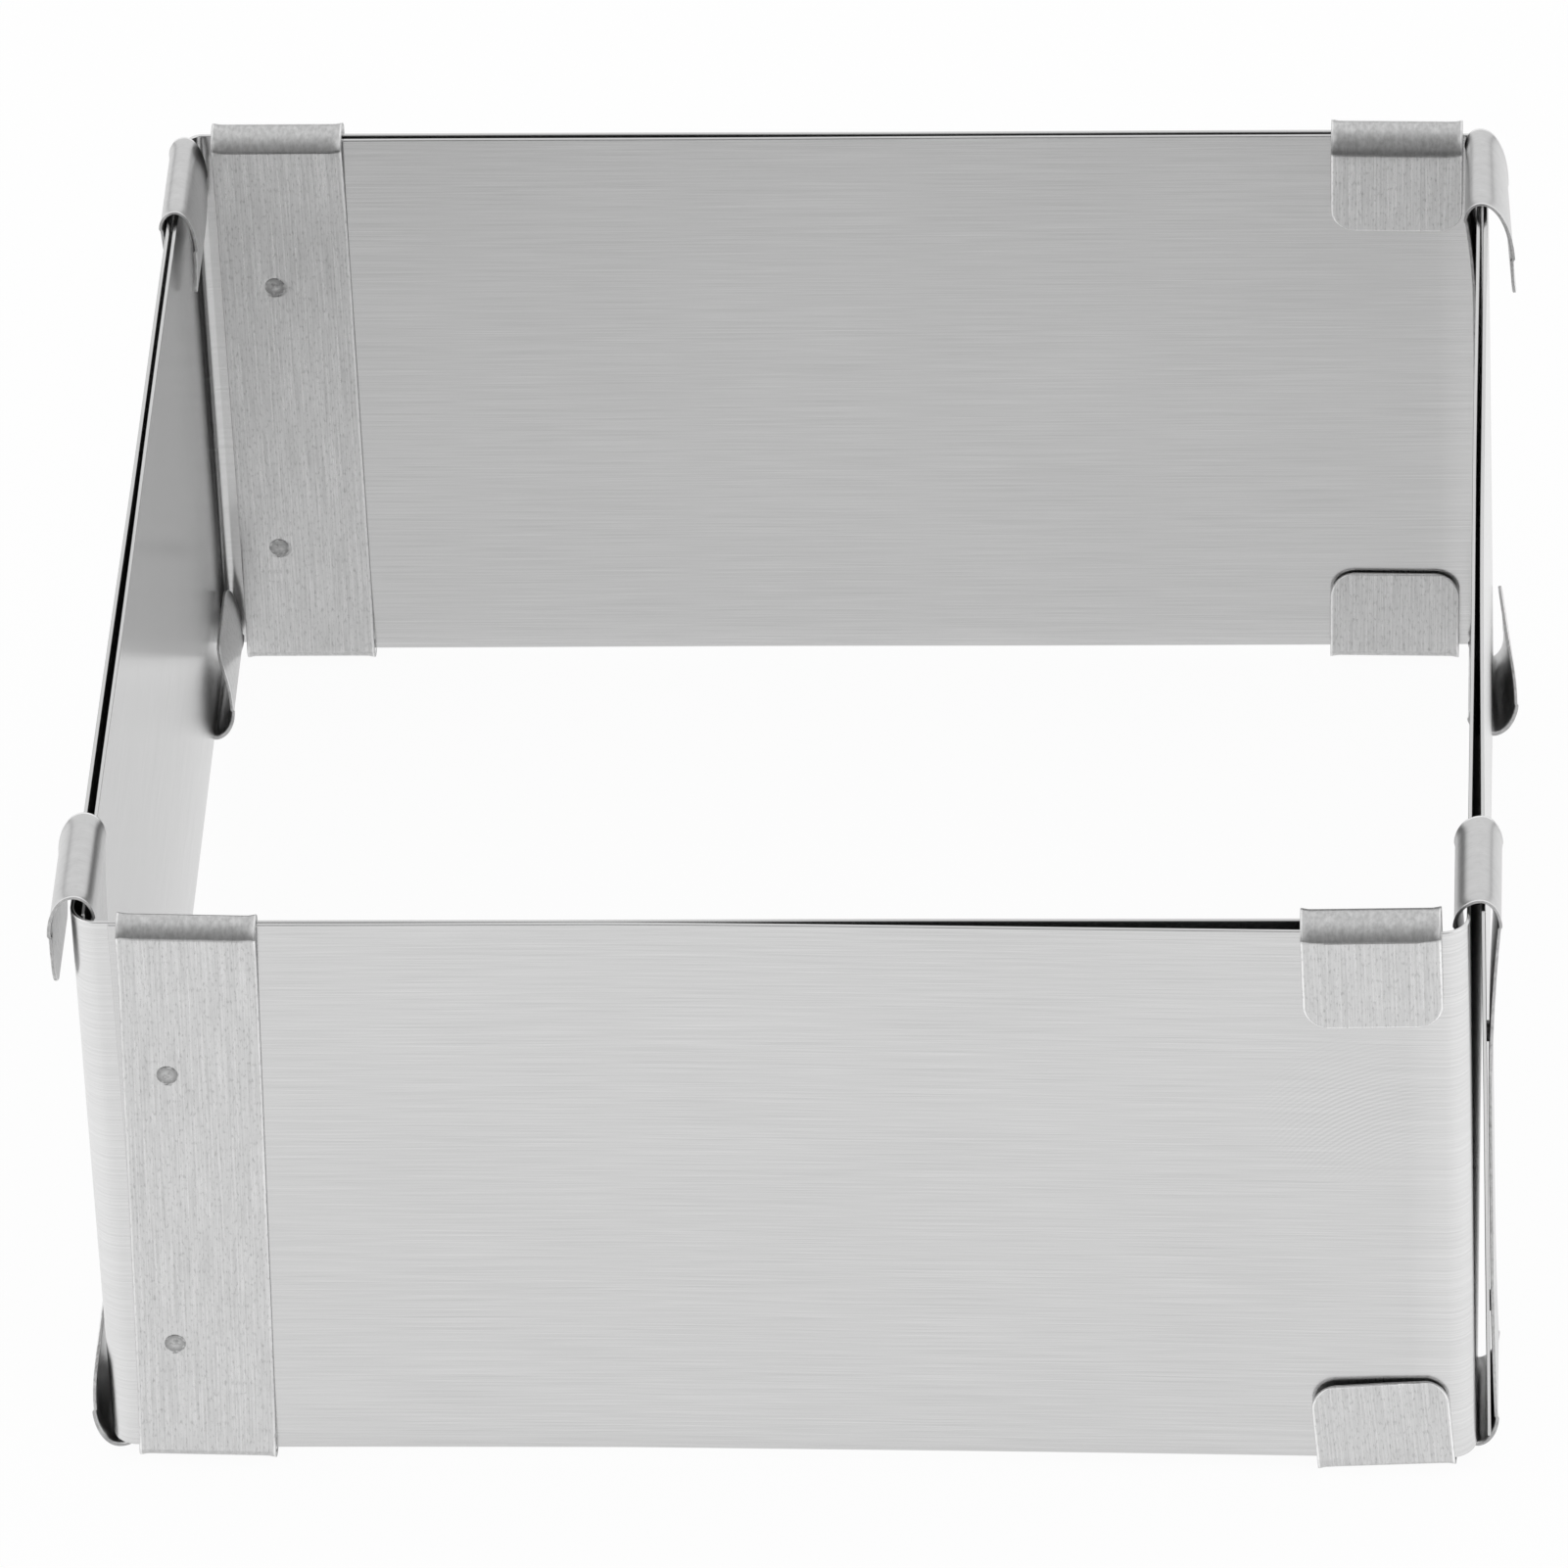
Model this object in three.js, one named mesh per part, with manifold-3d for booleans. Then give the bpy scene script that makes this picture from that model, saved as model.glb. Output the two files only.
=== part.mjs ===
// Adjustable square mousse frame in stainless sheet. Four bent corner panels overlap on every side,
// and each slides through the hooked straps of its neighbours, so the square grows both ways.
// Millimetres, +Z up. The frame stands on the bottom folds of its straps, at z = 0.
import * as THREE from 'three';
import { mergeVertices } from 'three/addons/utils/BufferGeometryUtils.js';
import Module from 'manifold-3d';

const wasm = await Module();
wasm.setup();

// Panels: one sheet bent to an L, with an inner leg along local +X and an outer leg along local +Y.
const SHEET_HEIGHT = 85;
const SHEET_THICKNESS = 0.5;
const BEND_RADIUS = 3.5; // outside of the corner bend
const BEND_STEPS = 10;
const SIDE_CLOSED = 171.2; // outside to outside of two opposite inner legs, pushed shut
const PULLED_WIDTH = 2; // how far the frame stands open from shut, left to right
const PULLED_DEPTH = 0; // the same, front to back
const CORNER_GAP = 1.3; // between the two sheets of a side, at the outer leg's bend
const SHUT_CLEARANCE = 1.1; // inner leg's free end to the panel it faces, pushed shut

// Straps: one strip, full height on its own sheet, hooked over both edges onto the neighbour's sheet.
const STRAP_WIDTH = 17.5;
const STRAP_THICKNESS = 0.5;
const STRAP_SEAT_GAP = 0.1; // strap to its own sheet between the welds
const ROLL_SIDE_CLEARANCE = 1.35; // sheet faces to the inside of a fold, at the fold's foot
const TOP_ROLL_CLEARANCE = 0.9; // sheets' top edges to the inside of a top fold
const BOTTOM_ROLL_CLEARANCE = 0.4; // sheets' bottom edges to the inside of a bottom fold
const ROLL_STEPS = 13; // odd, so that each fold has a narrow flat on top and a foot below
const LEG_EASE = 14; // height over which a strap comes down from its fold onto the sheet
const LEG_EASE_STEPS = 6;
const TOP_HOOK = 15; // reach of a hook below the sheet's top edge
const BOTTOM_HOOK = 13; // reach of a hook above the sheet's bottom edge
const HOOK_CORNER_RADIUS = 3.5;
const HOOK_CORNER_STEPS = 8;

// Spot welds: round nuggets through strap and sheet.
const WELD_RADIUS = 1.25;
const WELD_DIMPLE_RADIUS = 0.8;
const WELD_DIMPLE_DEPTH = 0.1;
const WELD_CLEARANCE = 0.1;
const WELD_FROM_END = 6; // from the sheet's free end
const WELD_FROM_TOP = 23.5;
const WELD_FROM_BOTTOM = 18;
const WELD_STEPS = 20;

// How each corner is bent and welded in the photograph. freeEndGap: between the two sheets at the outer
// leg's free end. For each strap, top and bottom: gap between hook tip and held sheet. lean: degrees by
// which the strip runs out of plumb, its top to the right as seen from outside.
const CORNERS = [
  {
    name: 'front_left',
    freeEndGap: 0.4,
    outer: { top: 2.0, bottom: 1.2, lean: 0 },
    inner: { top: 0.4, bottom: 1.0, lean: 0 },
  },
  {
    name: 'front_right',
    freeEndGap: 0.4,
    outer: { top: 0.6, bottom: 0.6, lean: 1.2 },
    inner: { top: 3.4, bottom: 2.0, lean: 0 },
  },
  {
    name: 'back_right',
    freeEndGap: 1.3,
    outer: { top: 1.2, bottom: 0.8, lean: 0 },
    inner: { top: 0.6, bottom: 0.6, lean: 0 },
  },
  {
    name: 'back_left',
    freeEndGap: 0.5,
    outer: { top: 0.4, bottom: 0.9, lean: 0 },
    inner: { top: 2.8, bottom: 0.6, lean: 0 },
  },
];

const steel = (color, roughness) => new THREE.MeshStandardMaterial({ color, roughness, metalness: 1 });
const PANEL_STEEL = steel(0xd2d3d4, 0.32);
const STRAP_STEEL = steel(0xcccdcf, 0.38);
const WELD_STEEL = steel(0x8f8d8a, 0.5);

// Worked out from the sizes above
const quarterTurn = Math.PI / 2;
const inset = SHEET_THICKNESS + CORNER_GAP;
const innerLeg = SIDE_CLOSED + inset - SHEET_THICKNESS - SHUT_CLEARANCE;
const outerLeg = SIDE_CLOSED + inset - BEND_RADIUS;
const stack = 2 * SHEET_THICKNESS + CORNER_GAP;
const rollInside = stack / 2 + ROLL_SIDE_CLEARANCE;
const rollOverStack = Math.sqrt(rollInside ** 2 - (stack / 2) ** 2);
const topRollDrop = rollOverStack - TOP_ROLL_CLEARANCE;
const bottomRollRise = rollOverStack - BOTTOM_ROLL_CLEARANCE;
const sheetBottom = rollInside + STRAP_THICKNESS - bottomRollRise;
const sheetTop = sheetBottom + SHEET_HEIGHT;
const topFold = sheetTop - topRollDrop;
const bottomFold = sheetBottom + bottomRollRise;

// Closed mesh with shared vertices, as a solid for boolean work.
function solid(geometry) {
  const bare = geometry.clone();
  bare.deleteAttribute('normal');
  bare.deleteAttribute('uv');
  const merged = mergeVertices(bare);
  return new wasm.Manifold(new wasm.Mesh({
    numProp: 3,
    vertProperties: new Float32Array(merged.attributes.position.array),
    triVerts: new Uint32Array(merged.index.array),
  }));
}

function geometryOf(manifold) {
  const mesh = manifold.getMesh();
  const geometry = new THREE.BufferGeometry();
  geometry.setAttribute('position', new THREE.BufferAttribute(new Float32Array(mesh.vertProperties), 3));
  geometry.setIndex(new THREE.BufferAttribute(new Uint32Array(mesh.triVerts), 1));
  geometry.computeVertexNormals();
  return geometry;
}

function subtractAll(geometry, cutters) {
  return geometryOf(cutters.reduce((body, cutter) => body.subtract(solid(cutter)), solid(geometry)));
}

// Where each leg ends. A leg's own frame has its origin at the free end on the sheet's outside,
// x to the right as seen from outside the frame, y inwards and z up. The outer leg toes in to its free end.
function legsOf(corner) {
  const toeIn = Math.atan((CORNER_GAP - corner.freeEndGap) / (outerLeg - BEND_RADIUS));
  const bendEnd = new THREE.Vector2(
    BEND_RADIUS - BEND_RADIUS * Math.cos(toeIn),
    BEND_RADIUS + BEND_RADIUS * Math.sin(toeIn),
  );
  const run = (outerLeg - bendEnd.y) / Math.cos(toeIn);
  const end = new THREE.Vector2(Math.sin(toeIn), Math.cos(toeIn)).multiplyScalar(run).add(bendEnd);
  return {
    toeIn,
    outer: { kind: 'outer', x: end.x, y: end.y, turn: -quarterTurn - toeIn, towardsCorner: 1 },
    inner: { kind: 'inner', x: innerLeg, y: 0, turn: 0, towardsCorner: -1 },
  };
}

function legMatrix(leg) {
  return new THREE.Matrix4().makeRotationZ(leg.turn).setPosition(leg.x, leg.y, 0);
}

// Round plug along y between two depths, centred on one weld of a leg.
function weldPlug(leg, z, radius, low, high, dimple) {
  const profile = [
    new THREE.Vector2(0, low + dimple),
    new THREE.Vector2(WELD_DIMPLE_RADIUS, low),
    new THREE.Vector2(radius, low),
    new THREE.Vector2(radius, high),
    new THREE.Vector2(WELD_DIMPLE_RADIUS, high),
    new THREE.Vector2(0, high - dimple),
  ];
  const plug = new THREE.LatheGeometry(profile, WELD_STEPS);
  return plug.translate(leg.towardsCorner * WELD_FROM_END, 0, z);
}

const WELD_HEIGHTS = { upper: sheetTop - WELD_FROM_TOP, lower: sheetBottom + WELD_FROM_BOTTOM };

// Drills for the welds of a leg, long enough to pass through strap and sheet on either face.
function weldDrills(leg) {
  const radius = WELD_RADIUS + WELD_CLEARANCE;
  const reach = 2 * (SHEET_THICKNESS + STRAP_THICKNESS + STRAP_SEAT_GAP);
  return Object.values(WELD_HEIGHTS).map((z) => weldPlug(leg, z, radius, -reach, reach, 0));
}

// Corner panel: the L outline, extruded to the sheet's height and drilled for the welds.
function panelGeometry(legs) {
  const { toeIn, outer, inner } = legs;
  const insideBend = BEND_RADIUS - SHEET_THICKNESS;
  const across = new THREE.Vector2(Math.cos(toeIn), -Math.sin(toeIn)).multiplyScalar(SHEET_THICKNESS);
  const bendStart = -quarterTurn;
  const bendStop = -Math.PI - toeIn;
  const outline = new THREE.Shape();
  outline.moveTo(inner.x, 0);
  outline.absarc(BEND_RADIUS, BEND_RADIUS, BEND_RADIUS, bendStart, bendStop, true);
  outline.lineTo(outer.x, outer.y);
  outline.lineTo(outer.x + across.x, outer.y + across.y);
  outline.absarc(BEND_RADIUS, BEND_RADIUS, insideBend, bendStop, bendStart, false);
  outline.lineTo(inner.x, SHEET_THICKNESS);
  const sheet = new THREE.ExtrudeGeometry(outline, {
    depth: SHEET_HEIGHT,
    bevelEnabled: false,
    curveSegments: BEND_STEPS,
  }).translate(0, 0, sheetBottom);
  const drills = [outer, inner].flatMap(
    (leg) => weldDrills(leg).map((drill) => drill.applyMatrix4(legMatrix(leg))),
  );
  return subtractAll(sheet, drills);
}

// Centre line of a strap in its own plane: u away from the sheet it is welded to, z up. It runs from
// the tip of the top hook over the fold, down the full-height leg and under to the tip of the bottom hook.
function strapLine(neighbourGap, tipGaps) {
  const half = STRAP_THICKNESS / 2;
  const seat = STRAP_SEAT_GAP + half;
  const foldRadius = rollInside + half;
  const foldMiddle = -stack / 2;
  const foldFoot = foldMiddle + foldRadius;
  const held = -(2 * SHEET_THICKNESS + neighbourGap) - half;
  const arc = (z, side) => Array.from({ length: ROLL_STEPS + 1 }, (_, i) => {
    const angle = Math.PI * (1 - i / ROLL_STEPS);
    return new THREE.Vector2(foldMiddle + foldRadius * Math.cos(angle), z + side * foldRadius * Math.sin(angle));
  });
  const ease = (z, side) => Array.from({ length: LEG_EASE_STEPS }, (_, i) => {
    const part = (i + 1) / LEG_EASE_STEPS;
    const lift = (1 + Math.cos(Math.PI * part)) / 2;
    return new THREE.Vector2(seat + (foldFoot - seat) * lift, z - side * LEG_EASE * part);
  });
  return [
    new THREE.Vector2(held - tipGaps.top, sheetTop - TOP_HOOK),
    ...arc(topFold, 1),
    ...ease(topFold, 1),
    ...ease(bottomFold, -1).reverse(),
    ...arc(bottomFold, -1).reverse(),
    new THREE.Vector2(held - tipGaps.bottom, sheetBottom + BOTTOM_HOOK),
  ];
}

// Closed outline of a strip that follows a line, half a thickness to each side of it.
function stripOutline(line) {
  const side = (sign) => line.map((point, i) => {
    const before = line[Math.max(i - 1, 0)];
    const after = line[Math.min(i + 1, line.length - 1)];
    const along = after.clone().sub(before).normalize();
    const normal = new THREE.Vector2(-along.y, along.x);
    return point.clone().addScaledVector(normal, sign * STRAP_THICKNESS / 2);
  });
  return new THREE.Shape([...side(1), ...side(-1).reverse()]);
}

// Waste outside the rounded corner of a hook tip: x across the strap, y along the hook, z through it.
function hookCornerWaste(acrossSign, alongSign, x, z, low, high) {
  const r = HOOK_CORNER_RADIUS;
  const spare = STRAP_THICKNESS;
  const arcPoints = Array.from({ length: HOOK_CORNER_STEPS + 1 }, (_, i) => {
    const angle = quarterTurn * i / HOOK_CORNER_STEPS;
    return new THREE.Vector2(r - r * Math.sin(angle), r - r * Math.cos(angle));
  });
  const corner = [new THREE.Vector2(r, -spare), ...arcPoints, new THREE.Vector2(-spare, r)];
  corner.push(new THREE.Vector2(-spare, -spare));
  const placed = corner.map((p) => new THREE.Vector2(x + acrossSign * p.x, z + alongSign * p.y));
  const waste = new THREE.ExtrudeGeometry(new THREE.Shape(placed), {
    depth: high - low,
    bevelEnabled: false,
  });
  return waste.rotateX(quarterTurn).translate(0, high, 0);
}

// Strap in its leg's frame. The outer strap lies on the sheet's outside, the inner strap on its inside.
function strapGeometry(leg, neighbourGap, bent) {
  const away = leg.kind === 'outer' ? -1 : 1;
  const face = leg.kind === 'outer' ? 0 : SHEET_THICKNESS;
  const line = strapLine(neighbourGap, bent).map((p) => new THREE.Vector2(face + away * p.x, p.y));
  const strip = new THREE.ExtrudeGeometry(stripOutline(line), { depth: STRAP_WIDTH, bevelEnabled: false });
  const upright = new THREE.Matrix4().makeBasis(
    new THREE.Vector3(0, 1, 0),
    new THREE.Vector3(0, 0, 1),
    new THREE.Vector3(1, 0, 0),
  );
  const left = leg.towardsCorner > 0 ? 0 : -STRAP_WIDTH;
  strip.applyMatrix4(upright).translate(left, 0, 0);
  const heldSide = face - away * stack / 2;
  const reach = stack + ROLL_SIDE_CLEARANCE + STRAP_THICKNESS + Math.max(bent.top, bent.bottom);
  const low = Math.min(heldSide, heldSide - away * reach);
  const tips = [[sheetTop - TOP_HOOK, 1], [sheetBottom + BOTTOM_HOOK, -1]];
  const waste = tips.flatMap(([z, along]) => [
    hookCornerWaste(1, along, left, z, low, low + reach),
    hookCornerWaste(-1, along, left + STRAP_WIDTH, z, low, low + reach),
  ]);
  const rounded = subtractAll(strip, waste);
  const slope = Math.tan(THREE.MathUtils.degToRad(bent.lean));
  const halfway = (topFold + bottomFold) / 2;
  rounded.translate(0, 0, -halfway);
  rounded.applyMatrix4(new THREE.Matrix4().makeShear(0, 0, 0, 0, slope, 0));
  rounded.translate(0, 0, halfway);
  return subtractAll(rounded, weldDrills(leg));
}

function weldGeometry(leg, z) {
  const outside = STRAP_SEAT_GAP + STRAP_THICKNESS;
  const low = leg.kind === 'outer' ? -outside : 0;
  const high = leg.kind === 'outer' ? SHEET_THICKNESS : SHEET_THICKNESS + outside;
  return weldPlug(leg, z, WELD_RADIUS, low, high, WELD_DIMPLE_DEPTH);
}

function named(name, geometry, material) {
  const mesh = new THREE.Mesh(geometry, material);
  mesh.name = name;
  return mesh;
}

// One corner: the panel, and a strap with its two welds at the free end of each leg.
function cornerGroup(corner) {
  const group = new THREE.Group();
  const legs = legsOf(corner);
  group.add(named(`${corner.name}_panel`, panelGeometry(legs), PANEL_STEEL));
  for (const leg of [legs.outer, legs.inner]) {
    const end = new THREE.Group();
    end.position.set(leg.x, leg.y, 0);
    end.rotation.z = leg.turn;
    const neighbourGap = leg.kind === 'outer' ? corner.freeEndGap : CORNER_GAP;
    const strap = strapGeometry(leg, neighbourGap, corner[leg.kind]);
    end.add(named(`${corner.name}_${leg.kind}_strap`, strap, STRAP_STEEL));
    for (const [height, z] of Object.entries(WELD_HEIGHTS)) {
      end.add(named(`${corner.name}_${leg.kind}_weld_${height}`, weldGeometry(leg, z), WELD_STEEL));
    }
    group.add(end);
  }
  return group;
}

// Four corners round the square. Each is the front-left one, turned by quarter turns.
const frame = new THREE.Group();
const halfSpans = [(SIDE_CLOSED + PULLED_WIDTH) / 2, (SIDE_CLOSED + PULLED_DEPTH) / 2];
CORNERS.forEach((corner, turns) => {
  const [facing, beside] = turns % 2 === 0 ? halfSpans : [...halfSpans].reverse();
  const place = cornerGroup(corner);
  place.position.set(-(facing + inset), -beside, 0);
  const turned = new THREE.Group();
  turned.rotation.z = turns * quarterTurn;
  turned.add(place);
  frame.add(turned);
});

// The origin is the middle of the box that the whole frame fills, on the surface it stands on.
const box = new THREE.Box3().setFromObject(frame, true);
const middle = box.getCenter(new THREE.Vector3());
frame.position.set(-middle.x, -middle.y, -box.min.z);

export default frame;
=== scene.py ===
import math

import bpy
import numpy as np
from mathutils import Matrix, Vector


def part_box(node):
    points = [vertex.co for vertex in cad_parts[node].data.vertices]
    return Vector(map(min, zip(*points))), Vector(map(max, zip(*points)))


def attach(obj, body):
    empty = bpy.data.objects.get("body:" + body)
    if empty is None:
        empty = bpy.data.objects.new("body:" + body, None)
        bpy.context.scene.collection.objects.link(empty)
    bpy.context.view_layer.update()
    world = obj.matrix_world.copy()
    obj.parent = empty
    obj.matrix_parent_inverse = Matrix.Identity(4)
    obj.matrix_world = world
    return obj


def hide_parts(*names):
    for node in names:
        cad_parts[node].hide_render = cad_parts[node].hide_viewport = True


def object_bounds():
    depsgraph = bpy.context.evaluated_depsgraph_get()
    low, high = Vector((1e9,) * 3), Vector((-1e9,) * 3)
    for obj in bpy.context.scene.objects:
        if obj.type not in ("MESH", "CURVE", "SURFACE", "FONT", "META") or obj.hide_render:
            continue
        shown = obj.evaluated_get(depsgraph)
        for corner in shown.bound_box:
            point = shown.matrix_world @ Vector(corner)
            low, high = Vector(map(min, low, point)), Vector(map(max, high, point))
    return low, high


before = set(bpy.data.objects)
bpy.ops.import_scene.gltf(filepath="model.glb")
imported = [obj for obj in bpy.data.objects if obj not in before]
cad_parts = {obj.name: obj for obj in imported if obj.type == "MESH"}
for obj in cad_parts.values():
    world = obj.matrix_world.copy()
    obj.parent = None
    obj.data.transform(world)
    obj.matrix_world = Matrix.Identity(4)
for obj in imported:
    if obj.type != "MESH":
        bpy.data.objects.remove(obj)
cad_low, cad_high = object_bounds()

# Corner sheets
# Four stainless sheets, each bent once to an L and brushed along its length, with the sheared edges
# rubbed smooth. The outer leg lies outside the neighbour's sheet, the inner leg inside.
MM = 0.001
CORNERS = ("front_left", "front_right", "back_right", "back_left")
SHEET_THICKNESS = 0.5 * MM
BEND_RADIUS = 3.5 * MM
TIGHT_BEND = {"back_right": 2.3 * MM, "back_left": 2.3 * MM}  # radius of bends that came out tighter
LOWER_TRIM = 0.5 * MM  # how far the lower edge stands above the CAD's, which leaves the folds room
BEND_ROWS = 30
LEG_ROWS = 36
HEIGHT_ROWS = 24
CORNER_GAP = 1.3 * MM
BEND_GAP = {  # between the two sheets of a side, at the outer leg's bend
    "front_left": 1.0 * MM,
    "front_right": 2.2 * MM,
    "back_right": 0.45 * MM,
    "back_left": 0.8 * MM,
}
FREE_END_GAP = {  # the same at the outer leg's free end
    "front_left": 0.3 * MM,
    "front_right": 0.06 * MM,
    "back_right": 1.3 * MM,
    "back_left": 0.45 * MM,
}
CLOSED_FROM = {"front_right": 0.63}  # share of the outer leg at which the sheets meet, if before its end
CLOSING_CURVE = 1.15
OPENING_CURVE = {"back_right": 3.0}  # power for a leg that springs out towards its free end
OVERRUN = {"front_right": 0.25 * MM, "back_left": 0.6 * MM}  # of outer legs that are cut a little long
SHEET_EDGE = (0.16 * MM, 0.16 * MM)  # rounding along the face, and through the thickness
EDGE_STEPS = 5
EDGE_BORDER = 0.12 * MM  # narrow face beside a rounded edge, which keeps the wide face's shading flat
SHEET_BOW = 0.05 * MM
BOW_LENGTH = 95 * MM
BENT_REACH = 5.5 * MM  # half the length round a bend that carries the painted highlight and the added roughness


def corner_axes(corner):
    """A panel's bend in plan, as the outside corner it would have if sharp, the directions of its inner
    and outer leg, and their lengths. The front-left corner has its legs along +X and +Y, and each next
    corner is a quarter turn on."""
    low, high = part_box(f"{corner}_panel")
    bend = np.array((low.x if "left" in corner else high.x, low.y if "front" in corner else high.y))
    turns = CORNERS.index(corner)
    turn = turns * math.pi / 2
    inner_way = np.array((round(math.cos(turn)), round(math.sin(turn))))
    outer_way = np.array((-inner_way[1], inner_way[0]))
    size = (high - low)[:2]
    inner_leg, outer_leg = size if turns % 2 == 0 else size[::-1]
    drawn_in = CORNER_GAP - BEND_GAP[corner]
    inner_leg -= drawn_in
    outer_leg += OVERRUN.get(corner, 0.0)
    return bend + drawn_in * inner_way, inner_way, outer_way, inner_leg, outer_leg


def sheet_length(corner):
    """Lengths along a panel's outside face: to the bend, to the end of the bend, and in all."""
    inner_leg, outer_leg = corner_axes(corner)[3:]
    radius = TIGHT_BEND.get(corner, BEND_RADIUS)
    to_bend = inner_leg - radius
    past_bend = to_bend + radius * math.pi / 2
    return to_bend, past_bend, past_bend + outer_leg - radius


def sheet_line(corner, travel):
    """Outside face of a panel in plan, and its inward direction, at distances from the inner leg's free
    end. A straight run, a quarter circle, and a second run that closes on the neighbour's sheet or
    springs out from it by a power of the distance."""
    bend, inner_way, outer_way, inner_leg, _ = corner_axes(corner)
    to_bend, past_bend, total = sheet_length(corner)
    radius = TIGHT_BEND.get(corner, BEND_RADIUS)
    turned = np.clip((travel - to_bend) / radius, 0, math.pi / 2)
    beyond = np.maximum(travel - past_bend, 0)
    share = beyond / (total - past_bend) / CLOSED_FROM.get(corner, 1.0)
    if corner in OPENING_CURVE:
        easing = share ** OPENING_CURVE[corner]
    else:
        easing = 1 - np.clip(1 - share, 0, 1) ** CLOSING_CURVE
    closed = (BEND_GAP[corner] - FREE_END_GAP[corner]) * easing
    x = inner_leg - np.minimum(travel, to_bend) - radius * np.sin(turned) + closed
    y = radius * (1 - np.cos(turned)) + beyond
    points = bend + x[:, None] * inner_way + y[:, None] * outer_way
    inwards = np.sin(turned)[:, None] * inner_way + np.cos(turned)[:, None] * outer_way
    return points, inwards


def strip_section(marks, thickness, edge):
    """Closed section of a thin strip with rounded edges: (long, deep) points, their steps out from the
    middle of their rounding, and the length round the section. Up one face at the marks, round the far
    edge by two quarter ellipses, back down the other face and round the near edge."""
    quarter = np.linspace(0, math.pi / 2, EDGE_STEPS + 1)
    turns = (quarter[1:] - math.pi / 2, quarter[:-1], quarter[1:] + math.pi / 2, quarter[:-1] + math.pi)
    arcs = [np.stack((edge[0] * np.cos(turn), edge[1] * np.sin(turn)), axis=-1) for turn in turns]
    up = np.tile((0.0, -edge[1]), (len(marks), 1))
    steps = np.concatenate((up, *arcs[:2], -up, *arcs[2:]))
    round_points = np.full(EDGE_STEPS, 1.0)
    long = np.concatenate((
        marks, marks[-1] * round_points, marks[-1] * round_points,
        marks[::-1], marks[0] * round_points, marks[0] * round_points,
    ))
    near, far = edge[1], thickness - edge[1]
    deep = np.concatenate((
        np.full_like(marks, near), near * round_points, far * round_points,
        np.full_like(marks, far), far * round_points, near * round_points,
    ))
    points = np.stack((long, deep), axis=-1) + steps
    gaps = np.linalg.norm(np.roll(points, -1, axis=0) - points, axis=1)
    return points, steps, np.concatenate(([0.0], np.cumsum(gaps)))


def face_marks(start, end, inner_marks, edge):
    """Marks across a strip's face from edge to edge, with a narrow border beside each rounded edge."""
    first, last = start + edge[0], end - edge[0]
    inside = inner_marks[(inner_marks > first + EDGE_BORDER) & (inner_marks < last - EDGE_BORDER)]
    return np.concatenate(([first, first + EDGE_BORDER], inside, [last - EDGE_BORDER, last]))


def end_rounding(total, edge):
    """Distances from a strip's ends at which its rounded ends have rows, measured from its first end."""
    turn = np.linspace(0, math.pi / 2, EDGE_STEPS)
    from_end = np.append(edge[0] * (1 - np.cos(turn)), edge[0] + EDGE_BORDER)
    return from_end, total - from_end[::-1]


def end_shrink(travel, total, edge):
    """Share by which a strip's section shrinks into its rounding near its ends, so that they are rounded
    too: a quarter circle over the length of the rounding."""
    inside = np.clip(1 - np.minimum(travel, total - travel) / edge[0], 0, 1)
    return 1 - np.sqrt(1 - inside**2)


CREASE_ANGLE = math.radians(20)


def strip_mesh(name, grid, around, along):
    """Mesh of a closed strip. The grid's columns join to a tube, each end row closes with a flat face,
    and the faces are turned outwards by the sign of the volume. UV: u round the section, v along the
    strip."""
    across = grid[:-1, :, :]
    ahead = np.roll(grid, -1, axis=1)
    volume = np.einsum("ijk,ijk->", across, np.cross(ahead[:-1], ahead[1:]))
    volume += np.einsum("ijk,ijk->", across, np.cross(ahead[1:], grid[1:]))
    order = 1 if volume > 0 else -1
    rows, columns = grid.shape[:2]
    vertex = np.arange(rows * columns).reshape(rows, columns)
    beside = np.roll(vertex, -1, axis=1)
    quads = np.stack((vertex[:-1], beside[:-1], beside[1:], vertex[1:]), axis=-1).reshape(-1, 4)
    caps = [vertex[0, ::-1][::order], vertex[-1][::order]]
    around = np.broadcast_to(around, (rows, columns + 1))
    v = np.broadcast_to(along[:, None], (rows, columns + 1))
    flat = np.stack((around, v), axis=-1)
    corners = np.stack((flat[:-1, :-1], flat[:-1, 1:], flat[1:, 1:], flat[1:, :-1]), axis=2)
    corners = corners.reshape(-1, 4, 2)[:, ::order]
    end_flat = [np.stack((around[row, cap % columns], np.full(columns, along[row])), axis=-1)
                for cap, row in zip(caps, (0, -1))]
    mesh = bpy.data.meshes.new(name)
    faces = quads[:, ::order].tolist() + [cap.tolist() for cap in caps]
    mesh.from_pydata(grid.reshape(-1, 3).tolist(), [], faces)
    uv = mesh.uv_layers.new(name="grain")
    uv.data.foreach_set("uv", np.concatenate([corners.ravel(), *(end.ravel() for end in end_flat)]))
    mesh.shade_smooth()
    mesh.set_sharp_from_angle(angle=CREASE_ANGLE)
    return mesh


def add_node(tree, kind, inputs=None, **settings):
    """Adds a node, sets its settings, then fills its inputs: a socket is linked, a plain value is set."""
    node = tree.nodes.new(kind)
    for name, value in settings.items():
        setattr(node, name, value)
    for key, value in (inputs or {}).items():
        if isinstance(value, bpy.types.NodeSocket):
            tree.links.new(value, node.inputs[key])
        else:
            node.inputs[key].default_value = value
    return node


NOISE_ROUGHNESS = 0.6


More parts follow.
